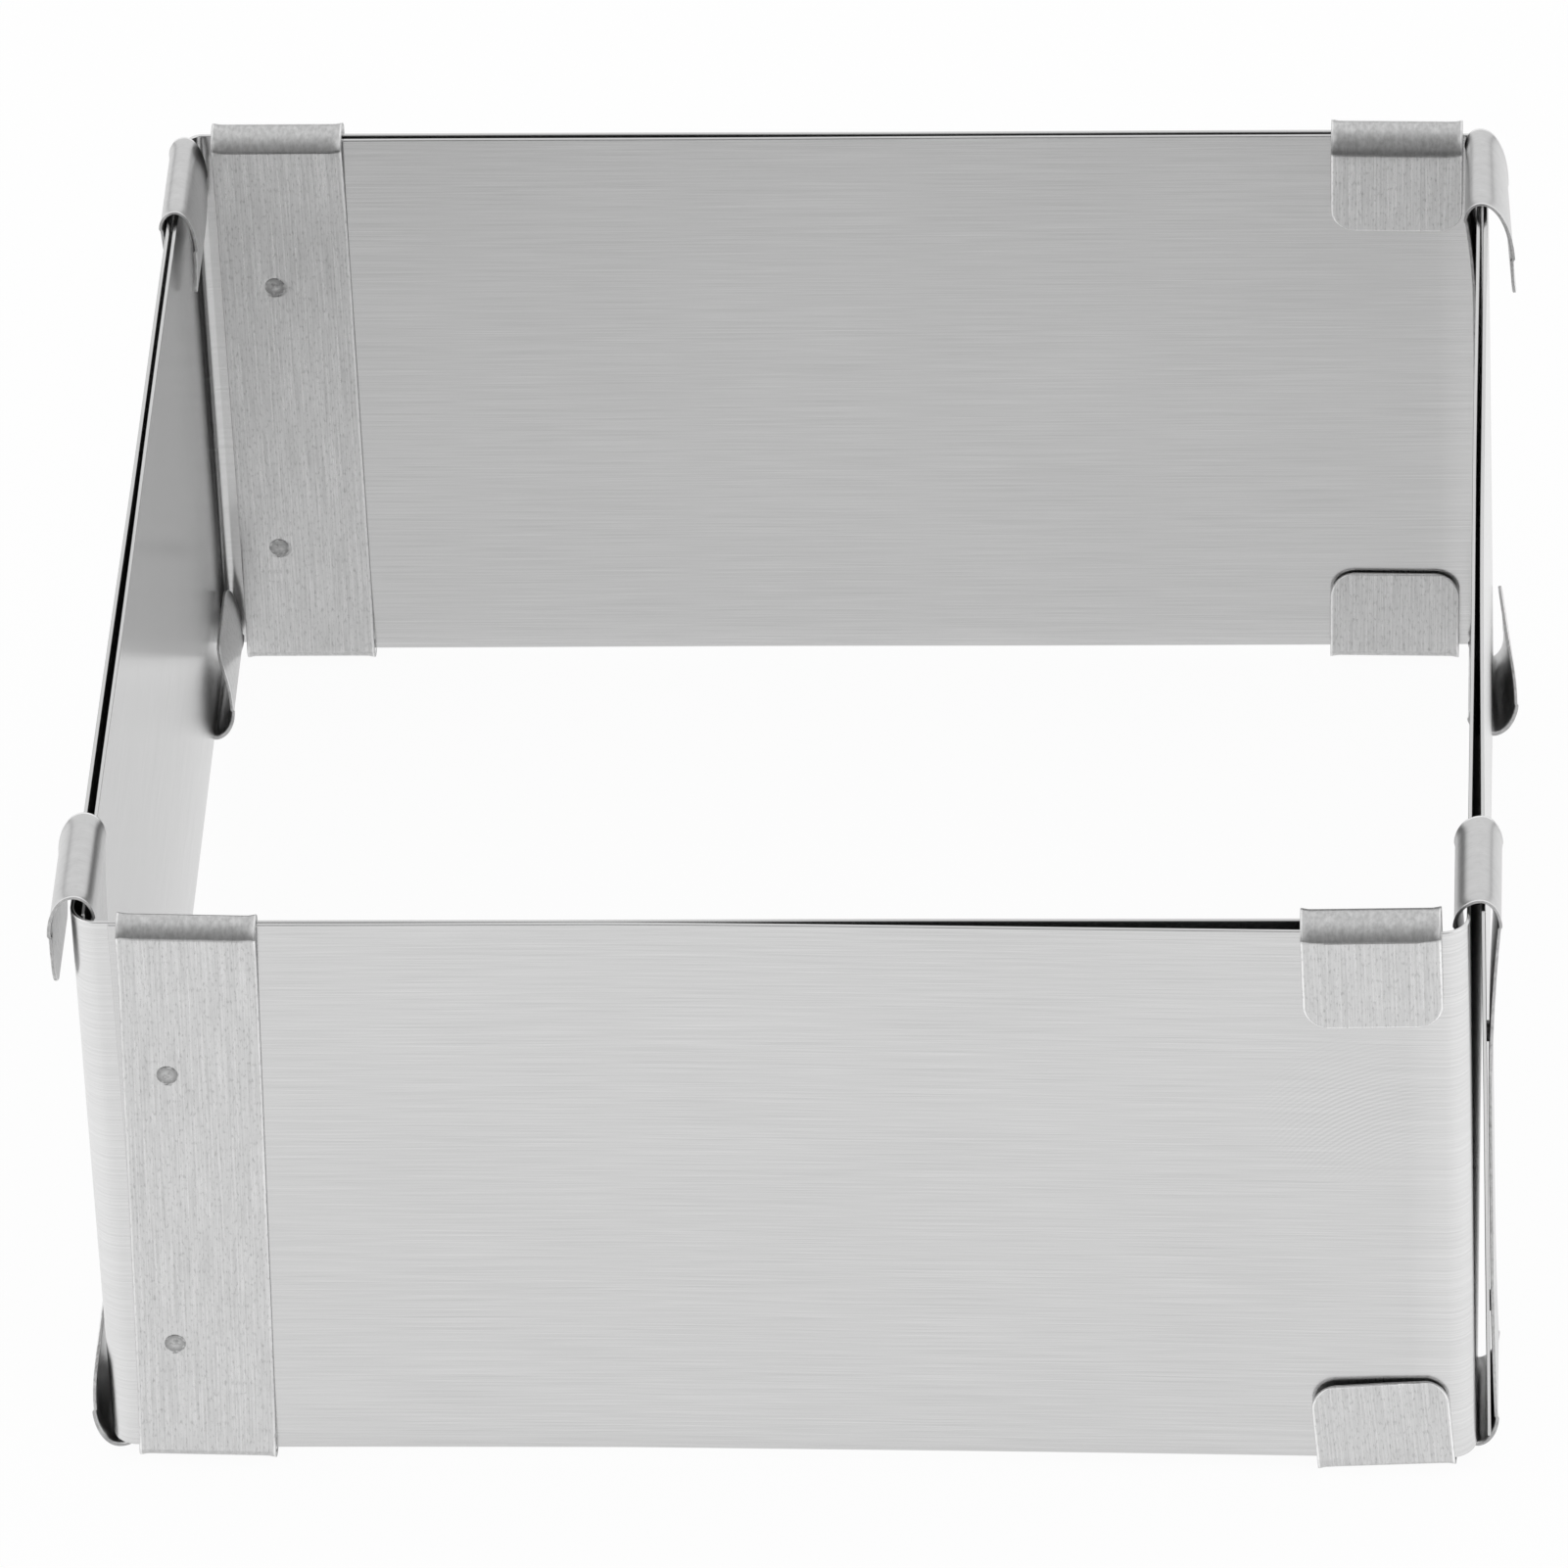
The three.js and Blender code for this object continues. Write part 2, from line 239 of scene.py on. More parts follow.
def stretched_noise(tree, place, across, along, layers):
    """Noise from 0 to 1 on the strip's own UV map, with its own count per metre across and along the
    grain, and a number of finer layers."""
    mapped = add_node(tree, "ShaderNodeMapping", {"Vector": place, "Scale": (across, along, 1.0)})
    noise = add_node(tree, "ShaderNodeTexNoise", {
        "Vector": mapped.outputs["Vector"], "Scale": 1.0, "Detail": layers, "Roughness": NOISE_ROUGHNESS,
    })
    return noise.outputs["Fac"]


def remap(tree, value, from_low, from_high, to_low, to_high, **settings):
    """Value carried from one range to another, in a straight line if not set otherwise, and held at the
    range's ends."""
    node = add_node(tree, "ShaderNodeMapRange", {
        "Value": value, "From Min": from_low, "From Max": from_high, "To Min": to_low, "To Max": to_high,
    }, **settings)
    return node.outputs["Result"]


def combine(tree, operation, first, second):
    """One sum, product or other piece of arithmetic on two values."""
    node = add_node(tree, "ShaderNodeMath", {0: first, 1: second}, operation=operation)
    return node.outputs["Value"]


def steel_material(name, anisotropy):
    """Empty steel: a metallic shader whose highlight stretches across the grain, and the strip's UVs."""
    material = bpy.data.materials.new(name)
    material.use_nodes = True
    tree = material.node_tree
    tree.nodes.clear()
    place = add_node(tree, "ShaderNodeUVMap", uv_map="grain").outputs["UV"]
    across = add_node(tree, "ShaderNodeTangent", direction_type="UV_MAP", uv_map="grain")
    shader = add_node(tree, "ShaderNodeBsdfPrincipled", {
        "Metallic": 1.0, "Anisotropic": anisotropy, "Tangent": across.outputs["Tangent"],
    })
    add_node(tree, "ShaderNodeOutputMaterial", {"Surface": shader.outputs["BSDF"]})
    return material, tree, place, shader


def finish_steel(tree, shader, tone, grain, roughness, depth):
    """Puts a grey tone, a roughness and a bump of the grain's real depth on a steel shader."""
    bump = add_node(tree, "ShaderNodeBump", {"Height": grain, "Distance": depth, "Strength": 1.0})
    tree.links.new(tone, shader.inputs["Base Color"])
    tree.links.new(roughness, shader.inputs["Roughness"])
    tree.links.new(bump.outputs["Normal"], shader.inputs["Normal"])


SHEET_ANISOTROPY = 0.5
SHEET_STREAKS = (4000, 32, 3)  # count per metre across and along the grain, and finer layers
SHEET_HAIRLINES = (9000, 65, 2)
SHEET_CLOUD = (38, 24, 3)
STREAK_SHARE = 0.45
HAIRLINE_SHARE = 0.55
SHEET_GRAIN = (0.25, 0.75)  # the part of the grain's range that tone and roughness follow
SHEET_TONES = (0.565, 0.72)
SHEET_ROUGHNESS = (0.23, 0.17)
SHEET_GRAIN_DEPTH = 0.0015 * MM
CLOUD_RANGE = (0.3, 0.7)
CLOUD_TONES = (0.985, 1.01)
BEND_HIGHLIGHT_TONE = 1.19  # painted highlight on the bend, times the plain tone
BENT_ROUGHNESS = 0.06  # more than the plain roughness
SWIRL_AT = (56 * MM, 186 * MM, 0.0)
SWIRL_CENTRE = (30 * MM, 172 * MM, 0.0)
SWIRL_REACH = 13 * MM
SWIRL_RINGS = 520
SWIRL_WOBBLE = 1.5
SWIRL_LAYERS = 2.0
SWIRL_DEPTH = 0.3
RINGS_MIDDLE = 0.5


def sheet_steel():
    """Brushed sheet: long fine streaks along the sheet, a faint unevenness from rolling, a patch of curved
    buffing marks on the outside near the bend, and a painted highlight on the slightly rougher bend."""
    material, tree, place, shader = steel_material("brushed_sheet_steel", SHEET_ANISOTROPY)
    streaks = combine(tree, "MULTIPLY", stretched_noise(tree, place, *SHEET_STREAKS), STREAK_SHARE)
    hairlines = combine(tree, "MULTIPLY", stretched_noise(tree, place, *SHEET_HAIRLINES), HAIRLINE_SHARE)
    cloud = stretched_noise(tree, place, *SHEET_CLOUD)
    from_centre = add_node(tree, "ShaderNodeVectorMath", {0: place, 1: SWIRL_CENTRE}, operation="SUBTRACT")
    rings = add_node(tree, "ShaderNodeTexWave", {
        "Vector": from_centre.outputs["Vector"], "Scale": SWIRL_RINGS, "Distortion": SWIRL_WOBBLE,
        "Detail": SWIRL_LAYERS,
    }, wave_type="RINGS", rings_direction="Z").outputs["Fac"]
    from_patch = add_node(tree, "ShaderNodeVectorMath", {0: place, 1: SWIRL_AT}, operation="DISTANCE")
    patch = remap(tree, from_patch.outputs["Value"], 0.0, SWIRL_REACH, SWIRL_DEPTH, 0.0)
    buffing = combine(tree, "MULTIPLY", patch, combine(tree, "SUBTRACT", rings, RINGS_MIDDLE))
    grain = combine(tree, "ADD", combine(tree, "ADD", streaks, hairlines), buffing)
    tone = combine(
        tree, "MULTIPLY",
        remap(tree, grain, *SHEET_GRAIN, *SHEET_TONES), remap(tree, cloud, *CLOUD_RANGE, *CLOUD_TONES),
    )
    # Painted highlight: the bend's tone is raised, standing in for the brighter light its curve reflects.
    bent = add_node(tree, "ShaderNodeAttribute", attribute_name="bent").outputs["Fac"]
    tone = combine(tree, "MULTIPLY", tone, remap(tree, bent, 0.0, 1.0, 1.0, BEND_HIGHLIGHT_TONE))
    roughness = combine(
        tree, "ADD",
        remap(tree, grain, *SHEET_GRAIN, *SHEET_ROUGHNESS), combine(tree, "MULTIPLY", bent, BENT_ROUGHNESS),
    )
    finish_steel(tree, shader, tone, grain, roughness, SHEET_GRAIN_DEPTH)
    return material


def corner_sheet(corner):
    """One panel: the rounded section, as high as the CAD sheet less the trim, carried along the panel's
    line in plan. A shallow wave of rolled sheet fades out at the bend and turns over at half height."""
    low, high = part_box(f"{corner}_panel")
    low.z += LOWER_TRIM
    to_bend, past_bend, total = sheet_length(corner)
    starts, ends = end_rounding(total, SHEET_EDGE)
    travel = np.concatenate((
        starts,
        np.linspace(starts[-1], to_bend, LEG_ROWS)[1:],
        np.linspace(to_bend, past_bend, BEND_ROWS)[1:],
        np.linspace(past_bend, ends[0], LEG_ROWS)[1:-1],
        ends,
    ))
    marks = face_marks(low.z, high.z, np.linspace(low.z, high.z, HEIGHT_ROWS), SHEET_EDGE)
    section, steps, around = strip_section(marks, SHEET_THICKNESS, SHEET_EDGE)
    shaped = section[None] - end_shrink(travel, total, SHEET_EDGE)[:, None, None] * steps[None]
    height, depth = shaped[..., 0], shaped[..., 1]
    points, inwards = sheet_line(corner, travel)
    flatness = np.clip(np.abs(travel - to_bend) / BOW_LENGTH, 0, 1)
    from_bend = np.abs(travel - (to_bend + past_bend) / 2)
    bent = np.clip((BENT_REACH - from_bend) / BENT_REACH, 0, 1)
    bent = np.repeat(bent * bent * (3 - 2 * bent), len(section))
    wave = SHEET_BOW * flatness * np.sin(2 * math.pi * travel / BOW_LENGTH)
    depth = depth + wave[:, None] * np.cos(math.pi * (height - low.z) / (high.z - low.z))
    plan = points[:, None] + depth[..., None] * inwards[:, None]
    grid = np.concatenate((plan, height[..., None]), axis=-1)
    mesh = strip_mesh(f"{corner}_sheet", grid, around, travel)
    mesh.attributes.new("bent", "FLOAT", "POINT").data.foreach_set("value", bent)
    return mesh


def seat_piece(name, mesh, material, body, slot, *nodes):
    """Shows a mesh as a piece of one body, in place of CAD nodes."""
    mesh.materials.append(material)
    piece = bpy.data.objects.new(name, mesh)
    bpy.context.scene.collection.objects.link(piece)
    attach(piece, body)
    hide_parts(*nodes)


sheet_metal = sheet_steel()
for corner in CORNERS:
    sheet = corner_sheet(corner)
    seat_piece(f"{corner}_sheet", sheet, sheet_metal, corner, "panel_steel", f"{corner}_panel")

# Guide straps
# Narrow strips of the same steel, one at the free end of each leg. Each is spot-welded to its own sheet,
# rolled over both edges of the pair of sheets and hooked onto the far one, which slides through it.
STRAP_WIDTH = 17.5 * MM
STRAP_THICKNESS = 0.5 * MM
STRAP_EDGE = (0.34 * MM, 0.12 * MM)
STRAP_SEAT_GAP = 0.1 * MM
HOOK_CORNER = 3.5 * MM
FLARE = 0.24 * MM  # how far a fold's ends curl out from bending
FLARE_WIDTH = 1.3 * MM
FEATHER = 0.3 * MM
CUT_START = 6  # power that keeps the torn look to the cut face, off its rounded edges
LEG_RIM_HIGHLIGHT = 0.4  # how strong the painted highlight on the leg's rims is, against that on the folds and hooks
SMOOTH_FOLD = 0.12  # how much an open roll is marked, against a creased one
WELD_FROM_END = (6.0 * MM, 6.0 * MM)  # upper and lower weld's distance from the leg's free end
STRAY_WELDS = {
    ("front_right", "outer"): (5.6 * MM, 5.1 * MM),
    ("back_right", "inner"): (7.2 * MM, 5.3 * MM),
}
WELD_DENT_RADIUS = 1.4 * MM
WELD_DENT_SLOPE = 0.25 * MM
WELD_DENT_DEPTH = 0.1 * MM
LINE_STEPS = 120
FOLD_ROWS = 40
HOOK_ROWS = 9
TIP_ROWS = 11
STRAP_LEG_ROWS = 44
STRAP_MARKS = 18
WELD_ROWS = 25
WELD_REACH = 2.1 * MM
ROW_DIGITS = 7  # decimals of a metre to which rows count as one

# One rolled end, in millimetres off the sheet that the strap is welded to: how far the roll stands beyond
# the sheets' edge, where its apex lies, how far it bulges to the leg's side and the hook's side and how
# far below the apex, the hook's length past the sheets' edge, the gap at its tip, the crease's turn in
# degrees, and the height over which the leg eases down to its seat.
TOP_ROLL = {
    "rise": 1.65, "apex": -1.15, "leg": 1.6, "leg_drop": 2.75, "hook": -3.9, "hook_drop": 2.75,
    "length": 15.0, "gap": 0.5, "crease": 15.0, "ease": 14.0,
}
BOTTOM_ROLL = {**TOP_ROLL, "rise": 0.95, "length": 13.0, "gap": 0.8}
OPEN_ROLL = {"crease": 0.0, "hook_drop": 6.2}
ROLLS = {
    ("front_left", "outer"): (
        {**OPEN_ROLL, "rise": 1.4, "apex": -1.0, "leg": 0.9, "hook": -3.3, "length": 13.1, "gap": 1.2},
        {**OPEN_ROLL, "hook": -3.7, "hook_drop": 4.6, "gap": 0.6},
    ),
    ("front_left", "inner"): (
        {"apex": -1.45, "hook": -4.5, "gap": 0.3, "length": 14.3},
        {
            "rise": 0.87, "apex": -1.85, "leg": 1.1, "leg_drop": 1.6, "hook": -4.5, "hook_drop": 1.9,
            "gap": 0.25,
        },
    ),
    ("front_right", "outer"): (
        {"rise": 0.84, "apex": -0.75, "hook": -2.2, "leg_drop": 2.6},
        {"rise": 0.72},
    ),
    ("front_right", "inner"): (
        {
            **OPEN_ROLL, "rise": 1.7, "apex": -0.5, "leg": 1.3, "hook": -4.2, "hook_drop": 9.0,
            "length": 14.2, "gap": 2.9,
        },
        {**OPEN_ROLL, "hook": -3.8, "hook_drop": 5.0, "gap": 1.3},
    ),
    ("back_right", "outer"): (
        {
            **OPEN_ROLL, "rise": 1.5, "apex": -0.6, "leg": 1.7, "leg_drop": 4.1, "hook": -3.7,
            "hook_drop": 4.0, "ease": 30.0,
        },
        {**OPEN_ROLL, "apex": -1.8, "leg": 0.65, "leg_drop": 4.5, "hook": -4.0, "ease": 24.0},
    ),
    ("back_right", "inner"): ({"rise": 1.3}, {}),
    ("back_left", "outer"): (
        {"rise": 1.5, "hook_drop": 4.2, "gap": 0.3},
        {"rise": 0.8, "gap": 0.25},
    ),
    ("back_left", "inner"): (
        {
            **OPEN_ROLL, "rise": 2.6, "apex": -1.3, "leg": 0.9, "leg_drop": 3.2, "hook": -4.6,
            "length": 12.2, "gap": 2.2,
        },
        {**OPEN_ROLL, "hook": -3.9, "hook_drop": 5.6, "gap": 0.8, "length": 13.6},
    ),
}
STRAP_LEAN = {  # turn about the strap's middle, clockwise as seen from outside
    ("front_left", "inner"): math.radians(-0.75),
    ("front_right", "outer"): math.radians(1.5),
    ("back_left", "outer"): math.radians(-0.9),
}
STRAP_SHIFT = {("front_left", "inner"): 0.55 * MM}  # to the right, as seen from outside
FOLD_SKEW = {("front_left", "inner"): math.radians(1.7)}  # turn of the lower fold's line
HOOK_SPLAY = {  # how far the upper and lower hook stand out at one edge, past their middle
    ("front_right", "inner"): (0.5 * MM, 0.85 * MM),
}


def leg_axes(corner, kind):
    """Free end of a leg on its sheet's outside in plan, the way to the right as seen from outside, and
    the way inwards."""
    travel = np.array((0.0 if kind == "inner" else sheet_length(corner)[2],))
    points, inwards = sheet_line(corner, travel)
    right = np.array((inwards[0, 1], -inwards[0, 0]))
    return points[0], right, inwards[0]


def roll_line(roll, held):
    """Middle line of one rolled end: distance off the sheet, and distance past the apex towards the leg's
    middle. A hook, straight from a crease or else curving in from its bulge, and a quarter ellipse each
    side of the apex."""
    size = {key: value * MM for key, value in roll.items()}
    crease = math.radians(roll["crease"])
    turn = np.linspace(crease, math.pi / 2, LINE_STEPS)
    hook_off = size["apex"] - (size["apex"] - size["hook"]) * np.cos(turn)
    hook_arc = np.stack((hook_off, size["hook_drop"] * (1 - np.sin(turn))), axis=-1)
    leg_off = size["apex"] + (size["leg"] - size["apex"]) * np.cos(turn)
    leg_arc = np.stack((leg_off, size["leg_drop"] * (1 - np.sin(turn))), axis=-1)
    tip = np.array((held - size["gap"], size["rise"] - STRAP_THICKNESS / 2 + size["length"]))
    part = np.linspace(1, 0, LINE_STEPS)[:-1]
    curve = part if crease else part**2
    hook = hook_arc[0] + np.stack((curve, part), axis=-1) * (tip - hook_arc[0])
    return np.concatenate((hook, hook_arc, leg_arc[-2::-1]))


def strap_line(corner, kind):
    """Middle line of a strap in its own plane: length along it, distance off the sheet, height, and the
    lengths at which its two folds start and end. Between the rolled ends the leg eases down to its seat
    and out again."""
    sheet_low, sheet_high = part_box(f"{corner}_panel")
    half = STRAP_THICKNESS / 2
    seat = STRAP_SEAT_GAP + half
    neighbour = CORNERS[(CORNERS.index(corner) + 1) % len(CORNERS)]
    sheets_gap = FREE_END_GAP[corner] if kind == "outer" else BEND_GAP[neighbour]
    held = -(2 * SHEET_THICKNESS + sheets_gap) - half
    bent_top, bent_bottom = ROLLS[corner, kind]
    top_roll, bottom_roll = {**TOP_ROLL, **bent_top}, {**BOTTOM_ROLL, **bent_bottom}
    top = roll_line(top_roll, held)
    bottom = roll_line(bottom_roll, held)[::-1]
    top[:, 1] = sheet_high.z + top_roll["rise"] * MM - half - top[:, 1]
    bottom[:, 1] = sheet_low.z - bottom_roll["rise"] * MM + half + bottom[:, 1]
    height = np.linspace(top[-1, 1], bottom[0, 1], LINE_STEPS)[1:-1]
    from_top = np.clip(1 - (top[-1, 1] - height) / (top_roll["ease"] * MM), 0, 1) ** 2
    from_bottom = np.clip(1 - (height - bottom[0, 1]) / (bottom_roll["ease"] * MM), 0, 1) ** 2
    off = seat + (top[-1, 0] - seat) * from_top + (bottom[0, 0] - seat) * from_bottom
    line = np.concatenate((top, np.stack((off, height), axis=-1), bottom))
    travel = np.concatenate(([0.0], np.cumsum(np.linalg.norm(np.diff(line, axis=0), axis=1))))
    last = len(travel) - 1
    folds = travel[[LINE_STEPS - 1, len(top) - 1, last - len(bottom) + 1, last - LINE_STEPS + 1]]
    return travel, line[:, 0], line[:, 1], folds


def on_leg(line, values, z):
    """One of the values along a strap's line, at a height on the strap's leg."""
    travel, _, height, folds = line
    leg = (travel >= folds[1]) & (travel <= folds[2])
    return np.interp(-z, -height[leg], values[leg])


def strap_welds(corner, kind):
    """Centres of a strap's two welds, before it leans: to the right of the free end, and up."""
    way = 1 if kind == "outer" else -1
    boxes = [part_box(f"{corner}_{kind}_weld_{height}") for height in ("upper", "lower")]
    from_end = STRAY_WELDS.get((corner, kind), WELD_FROM_END)
    return [(way * across, (low.z + high.z) / 2) for across, (low, high) in zip(from_end, boxes)]


def leaned(corner, kind, x, z):
    """Places on a strap, turned by its lean about the middle of the strap, and shifted."""
    lean = STRAP_LEAN.get((corner, kind), 0.0)
    sheet_low, sheet_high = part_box(f"{corner}_panel")
    x_middle = STRAP_WIDTH / 2 if kind == "outer" else -STRAP_WIDTH / 2
    z_middle = (sheet_low.z + sheet_high.z) / 2
    right, up = x - x_middle, z - z_middle
    x_middle += STRAP_SHIFT.get((corner, kind), 0.0)
    return (
        x_middle + right * math.cos(lean) + up * math.sin(lean),
        z_middle + up * math.cos(lean) - right * math.sin(lean),
    )


def guide_strap(corner, kind):
    """One strap: a rounded strip section carried along the strap's line. Its width closes in a quarter
    circle at each hook's tip, each weld leaves a round dent, the folds' ends curl out, and a skewed fold
    turns the hook by twice its own skew. Attributes mark the folds, the creased ones, the rounded rims
    and the cut edges."""
    line = strap_line(corner, kind)
    travel, off, height, folds = line
    total = travel[-1]
    starts, ends = end_rounding(total, STRAP_EDGE)
    tip = HOOK_CORNER * (1 - np.cos(np.linspace(0, math.pi / 2, TIP_ROWS)))
    welds = strap_welds(corner, kind)
    weld_travel = [on_leg(line, travel, z) for _, z in welds]
    rows = np.unique(np.round(np.concatenate((
        starts, tip, np.linspace(HOOK_CORNER, folds[0], HOOK_ROWS),
        np.linspace(folds[0], folds[1], FOLD_ROWS),
        np.linspace(folds[1], folds[2], STRAP_LEG_ROWS),
        *(middle + np.linspace(-WELD_REACH, WELD_REACH, WELD_ROWS) for middle in weld_travel),
        np.linspace(folds[2], folds[3], FOLD_ROWS),
        np.linspace(folds[3], total - HOOK_CORNER, HOOK_ROWS), total - tip, ends,
    )), ROW_DIGITS))
    half_width = STRAP_WIDTH / 2
    middle_x = half_width if kind == "outer" else -half_width
    weld_x = [x - middle_x for x, _ in welds]
    coarse = np.linspace(-half_width, half_width, STRAP_MARKS)
    first_fine, last_fine = min(weld_x) - WELD_REACH, max(weld_x) + WELD_REACH
    coarse = coarse[(coarse < first_fine) | (coarse > last_fine)]
    fine = np.linspace(first_fine, last_fine, WELD_ROWS)
    marks = face_marks(-half_width, half_width, np.sort(np.concatenate((coarse, fine))), STRAP_EDGE)
    section, steps, around = strip_section(marks, STRAP_THICKNESS, STRAP_EDGE)
    from_tip = np.clip(np.minimum(rows, total - rows), 0, HOOK_CORNER)
    rounding = np.sqrt(HOOK_CORNER**2 - (HOOK_CORNER - from_tip) ** 2)
    closing = (half_width - HOOK_CORNER + rounding) / half_width
    shrink = end_shrink(rows, total, STRAP_EDGE)
    shaped = section[None] - shrink[:, None, None] * steps[None]
    wide, deep = shaped[..., 0] * closing[:, None], shaped[..., 1]

    skew = FOLD_SKEW.get((corner, kind), 0.0) * (rows > sum(weld_travel) / 2)[:, None]
    level = folds[2]
    level_height = np.interp(level, travel, height)
    above = (level - rows)[:, None]
    along_fold = wide * np.cos(skew) + above * np.sin(skew)
    reach = np.clip(level + wide * np.sin(skew) - above * np.cos(skew), 0, total)

    fold = sum(
        np.clip((reach - first) / FEATHER, 0, 1) * np.clip((last - reach) / FEATHER, 0, 1)
        for first, last in (folds[:2], folds[2:])
    )
    curl = FLARE * fold * np.clip((np.abs(wide) - half_width + FLARE_WIDTH) / FLARE_WIDTH, 0, 1) ** 2
    dent = np.zeros_like(wide)
    for middle, across in zip(weld_travel, weld_x):
        from_weld = np.hypot(rows[:, None] - middle, wide - across)
        rim = np.clip((WELD_DENT_RADIUS + WELD_DENT_SLOPE - from_weld) / WELD_DENT_SLOPE, 0, 1)
        dent += WELD_DENT_DEPTH * rim * rim * (3 - 2 * rim)
    lift = STRAP_THICKNESS / 2 - deep + curl - np.where(deep < STRAP_THICKNESS / 2, dent, 0.0)

    out_off = np.interp(reach, travel, -np.gradient(height, travel))
    out_up = np.interp(reach, travel, np.gradient(off, travel))
    slant = np.hypot(out_off, out_up)
    u = np.interp(reach, travel, off) + lift * out_off / slant
    top_splay, bottom_splay = HOOK_SPLAY.get((corner, kind), (0.0, 0.0))
    splay = top_splay * np.clip((folds[1] - reach) / (folds[1] - folds[0]), 0, 1)
    splay += bottom_splay * np.clip((reach - folds[2]) / (folds[3] - folds[2]), 0, 1)
    u = u + splay * wide / half_width
    fall = level_height - np.interp(reach, travel, height) - lift * out_up / slant
    x = along_fold * np.cos(skew) + fall * np.sin(skew)
    z = level_height + along_fold * np.sin(skew) - fall * np.cos(skew)
    drop = np.clip((reach - weld_travel[1]) / (level - weld_travel[1]), 0, 1)
    z = z + half_width * np.sin(skew) * drop

    x, z = leaned(corner, kind, middle_x + x, z)
    end, right, inwards = leg_axes(corner, kind)
    y = -u if kind == "outer" else SHEET_THICKNESS + u
    plan = end + x[..., None] * right + y[..., None] * inwards
    grid = np.concatenate((plan, z[..., None]), axis=-1)
    first_middle = (around[0] + around[len(marks) - 1]) / 2
    on_first_face = np.arange(len(around)) < len(section) / 2
    middles = np.where(on_first_face, first_middle, first_middle + around[-1] / 2)
    grain_line = middles + (around - middles) * closing[:, None]
    mesh = strip_mesh(f"{corner}_{kind}_guide", grid, grain_line, rows)
    worked = [SMOOTH_FOLD if "crease" in bent else 1.0 for bent in ROLLS[corner, kind]]
    edge = np.maximum(np.abs(steps[:, 0]) / STRAP_EDGE[0], shrink[:, None])
    marks_of = {
        "rolled": fold,
        "fold": fold * np.where(reach < sum(weld_travel) / 2, *worked),
        "rim": 4 * edge * (1 - edge) * np.where((reach > folds[1]) & (reach < folds[2]), LEG_RIM_HIGHLIGHT, 1.0),
        "cut": edge**CUT_START,
    }
    for mark, value in marks_of.items():
        mesh.attributes.new(mark, "FLOAT", "POINT").data.foreach_set("value", value.ravel())
    return mesh


STRAP_ANISOTROPY = 0.4
STRAP_STREAKS = (4200, 60, 3)  # count per metre across and along the grain, and finer layers
STRAP_FLECKS = (3600, 1100, 3)
STRAP_MOTTLE = (900, 420, 3)
STRAP_SPECKLE = (1700, 1100, 5)
FLECK_RANGE = (0.54, 0.70)
FLECK_DEPTH = 0.4
ROLLED_QUIET = 0.75  # how far the grain fades on a roll
ROLLED_GRAIN = 0.45  # and what it fades to
STRAP_GRAIN = (0.0, 0.7)  # the part of the grain's range that tone and roughness follow
STRAP_TONES = (0.43, 0.73)
STRAP_ROUGHNESS = (0.36, 0.26)
STRAP_GRAIN_DEPTH = 0.003 * MM
MOTTLE_RANGE = (0.3, 0.7)
MOTTLE_TONES = (0.95, 1.03)
SPECKLE_RANGE = (0.35, 0.65)
FOLD_DULLING = (0.24, 0.0)
CUT_DULLING = (0.25, 0.0)
CUT_ROUGHNESS = 0.3
FOLD_RELIEF = 1.6
RIM_HIGHLIGHT_TONE = 1.5  # painted highlight on the rounded rims, times the plain tone
BRIGHTEST = 0.98


